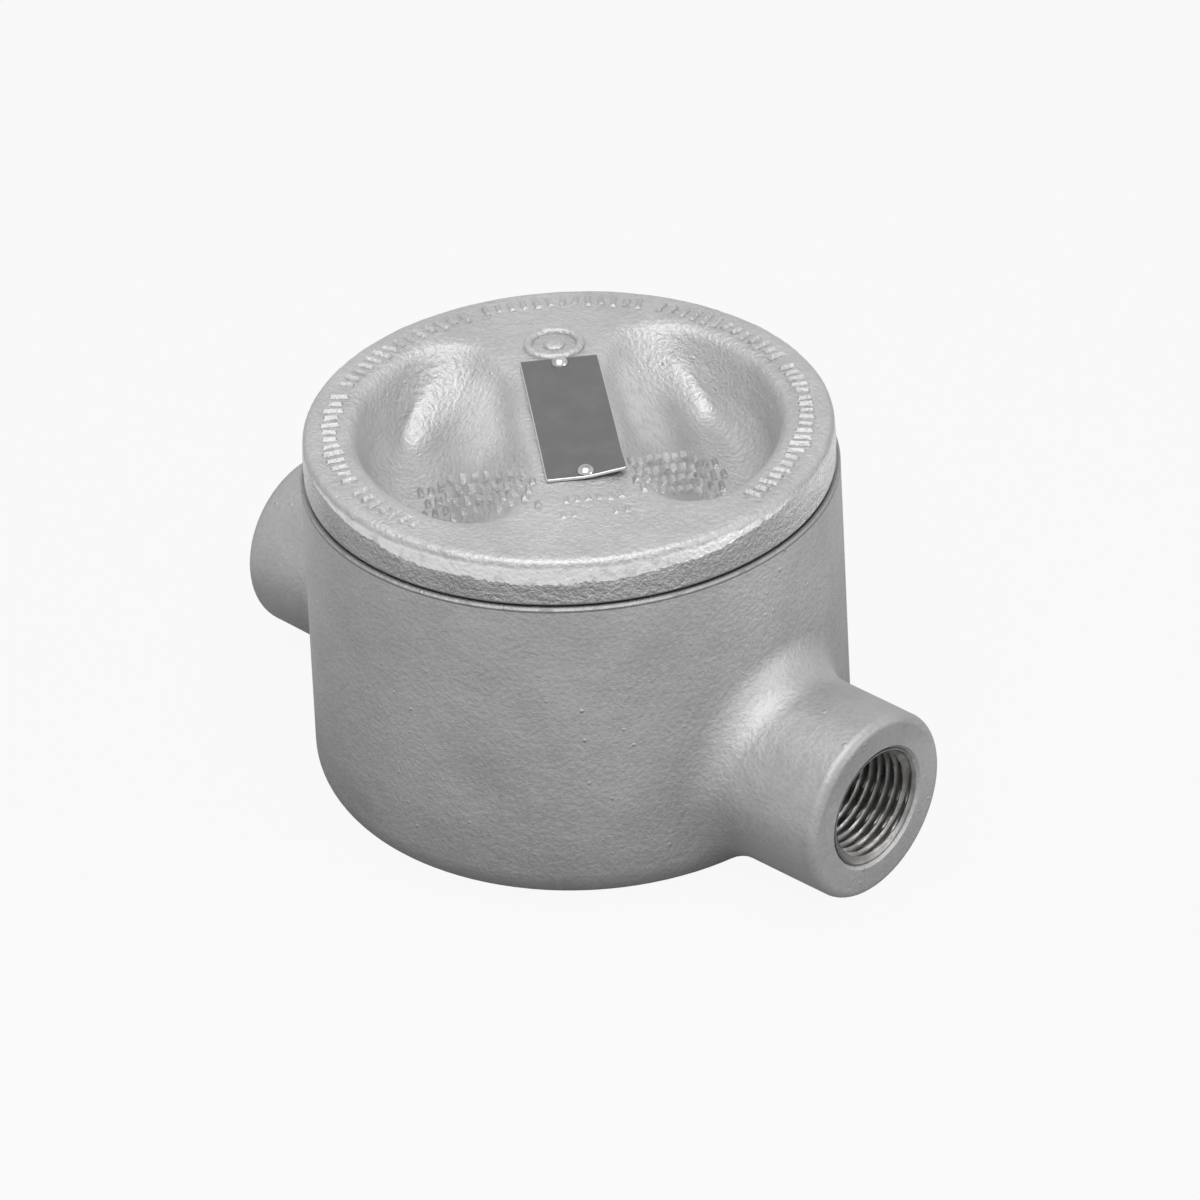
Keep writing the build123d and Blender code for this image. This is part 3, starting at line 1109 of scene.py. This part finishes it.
@dataclass
class ScrewCover:
    """The cover: painted casting, its thread, raised ribs and rings."""

    top: float = COVER_TOP
    angle: float = radians(-40)
    voxel: float = 0.75 * MM
    waist_reach: float = 16.0 * MM
    waist_spread: float = 8.0 * MM
    waist_shift: float = 1.7 * MM
    lip_depth: float = 5.0 * MM
    lip_reach: float = 42.5 * MM
    crisp_radius: float = 35.0 * MM
    crisp_start: float = -12.0 * MM
    flank_depth: float = 13.0 * MM
    flank_shift: float = 4.6 * MM
    crest_fade: Range = (1.0 * MM, 7.0 * MM)
    floor_fade: Range = (18.0 * MM, 34.0 * MM)
    wall_fade: Range = (32.0 * MM, 38.0 * MM)
    lip_rounds: int = 11
    lip_softening: float = 0.5
    skin_foot: float = 62.2 * MM
    flange_foot: float = 60.85 * MM
    flange_radius: float = 46.7 * MM
    corner_reach: float = 0.58 * MM
    wave_size: float = 7.0 * MM
    dent_size: float = 2.4 * MM
    wave_depth: float = 0.16 * MM
    wave_sink: float = 0.5
    wave_share: float = 0.33
    dent_share: float = 0.5
    least_upward: float = 0.3
    thread_top: float = 59.6 * MM
    rib_radius: float = 41.7 * MM
    rib_length: float = 3.9 * MM
    rib_pitch: float = 2.25 * MM
    rib_arcs: tuple[Range, ...] = (
        (2, 64), (70, 109), (115, 154), (160, 203), (209, 249), (255, 275))
    row_pitch: float = 3.95 * MM
    well_rows: int = 4
    well_ribs_in_row: int = 10
    well_first_row: float = -2.6 * MM
    well_row_starts: tuple[float, ...] = (9.0 * MM, -26.5 * MM)
    well_rib_pitch: float = 1.9 * MM
    well_rib_length: float = 3.0 * MM
    well_rib_width: float = 1.2 * MM
    well_rib_height: float = 0.95 * MM
    flank_foot: float = 20.4 * MM
    flank_climb: float = 1.54
    least_level: float = 0.42
    drop_height: float = 75 * MM
    front_ribs: tuple[tuple[float, float, int], ...] = (
        (26.8 * MM, -3.6 * MM, 6), (31.5 * MM, -4.6 * MM, 2), (31.5 * MM, 4.4 * MM, 2))
    front_rib_length: float = 2.6 * MM
    front_rib_height: float = 0.4 * MM
    rib_width: float = 1.0 * MM
    rib_height: float = 0.55 * MM
    boss_place: Spot = (-26.2 * MM, 0.7 * MM)
    boss_radius: float = 4.75 * MM
    bead_width: float = 0.85 * MM
    bead_steps: int = 16
    ring_steps: int = 64
    bead_height: float = 0.85 * MM
    dome_radius: float = 2.0 * MM
    dome_height: float = 0.65 * MM

    def skin(self) -> Mesh:
        """Even, dense mesh of the frame's cover."""
        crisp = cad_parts["cover"].data.copy()
        work = bmesh.new()
        work.from_mesh(crisp)
        bmesh.ops.remove_doubles(work, verts=work.verts, dist=MERGE_DISTANCE)
        work.to_mesh(crisp)
        work.free()
        host = linked("cover_host", crisp)
        remesh = host.modifiers.new("skin", "REMESH")
        remesh.mode = "VOXEL"
        remesh.voxel_size = self.voxel
        return applied(host)

    def squared(self, point: Vector) -> Vector:
        """Where a point by the flange's lower edge goes, so that the edge is sharp and the joint thin."""
        radius = hypot(point.x, point.y)
        by_side = radius > self.flange_radius - self.corner_reach
        if not by_side or abs(point.z - self.flange_foot) > self.corner_reach:
            return point
        scale = self.flange_radius / radius
        return Vector((point.x * scale, point.y * scale, self.flange_foot))

    def eased(self, point: Vector) -> Vector:
        """Where a point of the cover goes as the bridge gets a straight waist and gentler flanks."""
        along = point.x * cos(self.angle) + point.y * sin(self.angle)
        across = point.y * cos(self.angle) - point.x * sin(self.angle)
        high = ramp(point.z, self.top - self.flank_depth, self.top)
        straight = exp(-((abs(along) - self.waist_reach) / self.waist_spread) ** 2)
        near = ramp(abs(across), *self.crest_fade) * (1 - ramp(abs(across), *self.floor_fade))
        near *= 1 - ramp(hypot(along, across), *self.wall_fade)
        outward = (self.flank_shift * (1 - high) - self.waist_shift * straight * high) * near
        outward *= 1 if across > 0 else -1
        return Vector((point.x - outward * sin(self.angle), point.y + outward * cos(self.angle), point.z))

    def softness(self, point: Vector) -> bool:
        """Whether a point is on a lip that is worn soft: all but the front half of the outer wall."""
        radius = hypot(point.x, point.y)
        along = point.x * cos(self.angle) + point.y * sin(self.angle)
        on_lip = point.z > self.top - self.lip_depth and radius < self.lip_reach
        return on_lip and not (radius > self.crisp_radius and along > self.crisp_start)

    def casting(self, material: Material) -> Piece:
        """Cover casting with soft lips and an uneven skin, in place of the frame's crisp one.

        Args:
            material: its enamel.

        Returns:
            The casting.
        """
        work = bmesh.new()
        work.from_mesh(self.skin())
        for vert in work.verts:
            vert.co = self.eased(self.squared(vert.co))
        lips = [vert for vert in work.verts if self.softness(vert.co)]
        for _ in range(self.lip_rounds):
            bmesh.ops.smooth_vert(
                work,
                verts=lips,
                factor=self.lip_softening,
                use_axis_x=True,
                use_axis_y=True,
                use_axis_z=True,
            )
        work.normal_update()
        skin = [
            vert for vert in work.verts
            if vert.co.z > self.skin_foot or vert.normal.z > self.least_upward
        ]
        for vert in skin:
            wave = noise.noise(vert.co / self.wave_size)
            wave += self.dent_share * noise.noise(vert.co / self.dent_size)
            vert.co -= vert.normal * (self.wave_depth * (self.wave_sink + self.wave_share * wave))
        mesh = bpy.data.meshes.new("cover_casting")
        work.to_mesh(mesh)
        work.free()
        piece = worn(finished("cover_casting", mesh, material), Body.COVER, Slot.CAST_COVER)
        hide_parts("cover")
        return piece

    def thread(self, tree: ShapeTree, material: Material) -> Piece:
        """External thread on the spigot."""
        mesh = SPIGOT_THREAD.mesh(tree, self.thread_top, material)
        return worn(finished("cover_thread", mesh), Body.COVER, Slot.CAST_COVER)

    def rim_ribs(self, tree: ShapeTree, material: Material) -> Piece:
        """Arcs of raised radial ribs round the top."""
        meshes = []
        for start, end in self.rib_arcs:
            sweep = radians(end - start)
            meshes.append(tree.grown("rib_arc", {
                "Arc Radius": self.rib_radius,
                "Face Height": self.top,
                "Start Angle": radians(start),
                "Sweep Angle": sweep,
                "Count": int(sweep * self.rib_radius / self.rib_pitch) + 1,
                "Rib Length": self.rib_length,
                "Rib Width": self.rib_width,
                "Rib Height": self.rib_height,
                "Material": material,
            }))
        mesh = joined(meshes)
        return worn(finished("rim_ribs", mesh, material), Body.COVER, Slot.CAST_COVER)

    def well_ribs(self, tree: ShapeTree, casting: Piece) -> Piece:
        """Rows of raised ribs on the floors of both wells of the casting."""
        material = casting.data.materials[0]
        shared = {
            "Casting": casting,
            "Turn": self.angle,
            "Row Pitch": self.row_pitch,
            "Rib Pitch": self.well_rib_pitch,
            "Flank Foot": self.flank_foot,
            "Least Level": self.least_level,
            "Drop Height": self.drop_height,
            "Material": material,
        }
        wells = [
            {
                "First Row": self.well_first_row,
                "Row Start": start,
                "Rows": self.well_rows,
                "Ribs": self.well_ribs_in_row,
                "Flank Climb": self.flank_climb,
                "Rib Length": self.well_rib_length,
                "Rib Width": self.well_rib_width,
                "Rib Height": self.well_rib_height,
            }
            for start in self.well_row_starts
        ]
        front = [
            {
                "First Row": row,
                "Row Start": start,
                "Rows": 1,
                "Ribs": count,
                "Rib Length": self.front_rib_length,
                "Rib Width": self.rib_width,
                "Rib Height": self.front_rib_height,
            }
            for row, start, count in self.front_ribs
        ]
        mesh = joined([tree.grown("rib_rows", shared | own) for own in wells + front])
        return worn(finished("well_ribs", mesh, material), Body.COVER, Slot.CAST_COVER)

    def raised_ring(self, material: Material) -> Piece:
        """Plain raised ring and dome behind the rear screw."""
        flatten = self.bead_height / self.bead_width
        circle = arc((self.boss_radius, 0.0), self.bead_width, -180, 180, self.bead_steps)[:-1]
        bead = [(r, z * flatten) for r, z in circle]
        slope = self.dome_height / self.dome_radius
        dome = [(r, z * slope) for r, z in arc((0.0, 0.0), self.dome_radius, 90, -90, self.bead_steps)]
        place = Matrix.Rotation(self.angle, 4, "Z") @ Matrix.Translation((*self.boss_place, self.top))
        mesh = joined([turned(outline, self.ring_steps, place) for outline in (bead, dome)])
        return worn(finished("raised_ring", mesh, material), Body.COVER, Slot.CAST_COVER)


@dataclass
class Nameplate:
    """Bowed sheet-metal plate and its two drive screws."""

    top: float = COVER_TOP
    angle: float = radians(-40)
    length: float = 41.0 * MM
    width: float = 14.0 * MM
    thickness: float = 0.55 * MM
    offset: Spot = (0.3 * MM, 0.8 * MM)
    bow: float = 0.35 * MM
    lift: float = 0.02 * MM
    corner: float = 0.5 * MM
    edge_break: float = 0.08 * MM
    edge_band: float = 2.2
    edge_margin: float = 0.25
    steps_along: int = 24
    steps_across: int = 9
    corner_steps: int = 5
    screw_spacing: float = 37.6 * MM
    head_radius: float = 1.6 * MM
    head_height: float = 1.15 * MM
    shank_radius: float = 1.1 * MM
    shank_length: float = 3.5 * MM
    head_edge: float = 0.12 * MM
    head_tuck: float = 0.03 * MM
    head_steps: int = 40
    dome_share: float = 0.96
    dome_steps: int = 14
    tip_chamfer: float = 0.35 * MM
    tip_share: float = 0.7
    seat_share: float = 0.3
    curl: float = 1.1 * MM
    curl_start: float = 14.0 * MM
    edge_mask: str = "cut_edge"

    def turn(self) -> Matrix:
        """Turn from the bridge's axes to the row frame."""
        return Matrix.Rotation(self.angle, 4, "Z")

    def height_at(self, along: float) -> float:
        """Height of the plate's underside at a place along it, from its middle."""
        return self.lift + self.bow * (1 - (2 * along / self.length) ** 2)

    def curl_at(self, along: float, across: float) -> float:
        """How far the bent front corner stands up at a place on the plate."""
        reach = max(0.0, along - self.curl_start) / (self.length / 2 - self.curl_start)
        side = max(0.0, across) / (self.width / 2)
        return self.curl * reach * side

    def ring(self, inset: float) -> Outline:
        """Plan of the plate's edge, drawn in by an inset."""
        half_x = self.length / 2 - inset
        half_y = self.width / 2 - inset
        radius = self.corner
        corners = [(1, 1, 0), (-1, 1, 90), (-1, -1, 180), (1, -1, 270)]
        points = []
        for sx, sy, start in corners:
            centre = (sx * (half_x - radius), sy * (half_y - radius))
            points += arc(centre, radius, start, start + 90, self.corner_steps)
        return points

    def plate(self, material: Material) -> Piece:
        """The bowed plate, which stands for the flat one of the frame."""
        work = bmesh.new()
        levels = [
            (self.edge_break, 0.0),
            (0.0, self.edge_break),
            (0.0, self.thickness - self.edge_break),
            (self.edge_break, self.thickness),
            (self.edge_break * self.edge_band, self.thickness),
        ]
        rings = [[work.verts.new((x, y, z)) for x, y in self.ring(inset)] for inset, z in levels]
        count = len(rings[0])
        for low, high in zip(rings, rings[1:]):
            for step in range(count):
                beyond = (step + 1) % count
                work.faces.new((low[step], low[beyond], high[beyond], high[step]))
        work.faces.new(rings[0])
        work.faces.new(rings[-1])
        cuts = ((self.length, (1, 0, 0), self.steps_along), (self.width, (0, 1, 0), self.steps_across))
        for size, along, steps in cuts:
            for step in range(1, steps):
                everything = list(work.verts) + list(work.edges) + list(work.faces)
                cut = Vector(along) * (size * (step / steps - 0.5))
                bmesh.ops.bisect_plane(work, geom=everything, plane_co=cut, plane_no=along)
        mask = work.verts.layers.float.new(self.edge_mask)
        for vert in work.verts:
            inner_x = self.length / 2 - self.edge_break * 2 - abs(vert.co.x)
            inner_y = self.width / 2 - self.edge_break * 2 - abs(vert.co.y)
            inner = min(inner_x, inner_y) > -self.edge_break * self.edge_margin
            vert[mask] = 0.0 if inner else 1.0
            vert.co.z += self.height_at(vert.co.x) + self.curl_at(vert.co.x, vert.co.y)
        mesh = bpy.data.meshes.new("nameplate_bowed")
        work.to_mesh(mesh)
        work.free()
        mesh.transform(self.turn() @ Matrix.Translation((*self.offset, self.top)))
        piece = worn(finished("nameplate_bowed", mesh, material), Body.COVER, Slot.PLATE)
        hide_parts("nameplate")
        return piece

    def screw(self, node: str, along: float, material: Material) -> Piece:
        """Round-headed drive screw with a rolled rim, which stands for the frame's plain one.

        Args:
            node: the CAD node it replaces.
            along: its place along the plate.
            material: bright steel.

        Returns:
            The screw.
        """
        sphere = (self.head_radius ** 2 + self.head_height ** 2) / (2 * self.head_height)
        reach = degrees(atan2(self.head_radius, sphere - self.head_height))
        centre = (0.0, self.head_height - sphere)
        dome = arc(centre, sphere, 90, 90 - reach * self.dome_share, self.dome_steps)
        outline = dome + [
            (self.head_radius, self.head_edge),
            (self.head_radius - self.head_tuck, 0.0),
            (self.shank_radius, 0.0),
            (self.shank_radius, -self.shank_length + self.tip_chamfer),
            (self.shank_radius * self.tip_share, -self.shank_length),
            (0.0, -self.shank_length),
        ]
        seat = self.top + self.thickness + self.lift + self.height_at(along) * self.seat_share
        place = self.turn() @ Matrix.Translation((self.offset[0] + along, self.offset[1], seat))
        piece = finished(node + "_round", turned(outline, self.head_steps, place), material)
        worn(piece, Body.COVER, Slot.SCREW)
        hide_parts(node)
        return piece


def dress(piece: Piece, material: Material) -> None:
    """Give a CAD node its material."""
    piece.data.materials.clear()
    piece.data.materials.append(material)


def worn(piece: Piece, body: Body, slot: Slot) -> Piece:
    """Fix a finished piece to its body, report it and return it."""
    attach(piece, body.value)
    LOG.info("%s: %d faces on %s", piece.name, len(piece.data.polygons), body.value)
    return piece


@dataclass(frozen=True)
class SoftBox:
    """One soft studio lamp."""

    name: str
    place: Point
    target: Point
    width: float
    height: float
    power: float

    def hang(self) -> None:
        """Make the lamp and aim it."""
        light = bpy.data.lights.new(self.name, "AREA")
        light.shape = "RECTANGLE"
        light.size = self.width
        light.size_y = self.height
        light.energy = self.power
        lamp = linked(self.name, light)
        lamp.location = self.place
        lamp.rotation_euler = (Vector(self.target) - Vector(self.place)).to_track_quat("-Z", "Y").to_euler()


@dataclass
class Studio:
    """Camera at the photograph's angle, lamps, floor and world."""

    azimuth: float = 44.225
    elevation: float = 33.078
    roll: float = -2.762
    shift_right: float = -24.093
    shift_down: float = -25.323
    pixels_per_radius: float = 265.793
    focal_pixels: float = 4400.0
    frame_pixels: float = 1200.0
    sensor: float = 36.0
    rim_radius: float = 47.5 * MM
    target: Point = (0.0, 0.0, 36.75 * MM)
    lamps: tuple[SoftBox, ...] = field(default_factory=lambda: (
        SoftBox("top_lamp", (0.16, -0.24, 0.82), (0.0, 0.0, 0.05), 0.85, 0.85, 6.4),
        SoftBox("right_lamp", (0.8, 0.3, 0.22), (0.0, 0.0, 0.04), 0.3, 0.4, 1.3),
    ))
    sky: float = 0.3
    floor_reach: float = 6.0
    camera_reach: float = 20.0

    def place_camera(self) -> None:
        """Stand the camera where the photograph was taken from."""
        turn = radians(self.azimuth)
        tilt = radians(self.elevation)
        lean = radians(self.roll)
        back = Vector((sin(turn) * cos(tilt), -cos(turn) * cos(tilt), sin(tilt)))
        right = Vector((cos(turn), sin(turn), 0.0))
        up = back.cross(right)
        right, up = right * cos(lean) + up * sin(lean), up * cos(lean) - right * sin(lean)
        unit = self.rim_radius / self.pixels_per_radius
        place = Vector(self.target) + back * (self.focal_pixels * unit)
        place += up * (self.shift_down * unit) - right * (self.shift_right * unit)
        data = bpy.data.cameras.new("photo_camera")
        data.lens = self.focal_pixels / self.frame_pixels * self.sensor
        data.sensor_width = self.sensor
        data.clip_end = self.camera_reach
        camera = linked("photo_camera", data)
        camera.matrix_world = Matrix.Translation(place) @ Matrix((right, up, back)).transposed().to_4x4()
        bpy.context.scene.camera = camera

    def light(self) -> None:
        """Hang the lamps and light the world."""
        for lamp in self.lamps:
            lamp.hang()
        world = bpy.data.worlds.new("studio_world")
        world.use_nodes = True
        world.node_tree.nodes.clear()
        graph = Graph(world.node_tree)
        ambient = graph.node("ShaderNodeBackground", None, {"Color": (1, 1, 1, 1), "Strength": self.sky})
        white = graph.node("ShaderNodeBackground", None, {"Color": (1, 1, 1, 1), "Strength": 1.0})
        direct, mirrored = rays(graph)
        seen = direct.larger(mirrored)
        shown = graph.node("ShaderNodeMixShader", None, {0: seen, 1: ambient, 2: white})
        end = world.node_tree.nodes.new("ShaderNodeOutputWorld")
        graph.tree.links.new(shown.port, end.inputs["Surface"])
        bpy.context.scene.world = world
        bpy.context.scene.view_settings.view_transform = "Standard"

    def lay_floor(self) -> None:
        """Lay the pale floor."""
        corners = [(-1, -1), (1, -1), (1, 1), (-1, 1)]
        points = [(x * self.floor_reach, y * self.floor_reach, 0.0) for x, y in corners]
        mesh = mesh_from(points, [(0, 1, 2, 3)])
        mesh.materials.append(StudioFloor().make())
        linked("floor", mesh)


def main() -> None:
    """Build every sub-assembly in order, then the studio."""
    logging.basicConfig(level=logging.INFO, format="%(message)s")
    threads = thread_tree()
    arcs = rib_arc_tree()
    rows = rib_row_tree()
    bore_metal = BORE_METAL.make()

    box = BoxCasting()
    box.paint_casting()
    for side in Side:
        box.hub_thread(threads, side, bore_metal)
    box.cover_thread(threads, bore_metal)

    cover = ScrewCover()
    enamel = COVER_ENAMEL.make(CoverFaces())
    casting = cover.casting(enamel)
    cover.thread(threads, bore_metal)
    cover.rim_ribs(arcs, enamel)
    cover.well_ribs(rows, casting)
    cover.raised_ring(enamel)

    plate = Nameplate()
    plate.plate(PLATE_METAL.make(plate.edge_mask))
    steel = SCREW_STEEL.make()
    plate.screw("drive_screw_rear", -plate.screw_spacing / 2, steel)
    plate.screw("drive_screw_front", plate.screw_spacing / 2, steel)

    brass = EARTH_BRASS.make()
    dress(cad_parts["ground_screw"], brass)
    dress(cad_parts["ground_washer"], brass)
    dress(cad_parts["cover_o_ring"], Rubber().make())

    studio = Studio()
    studio.place_camera()
    studio.light()
    studio.lay_floor()


if __name__ == "__main__":
    main()
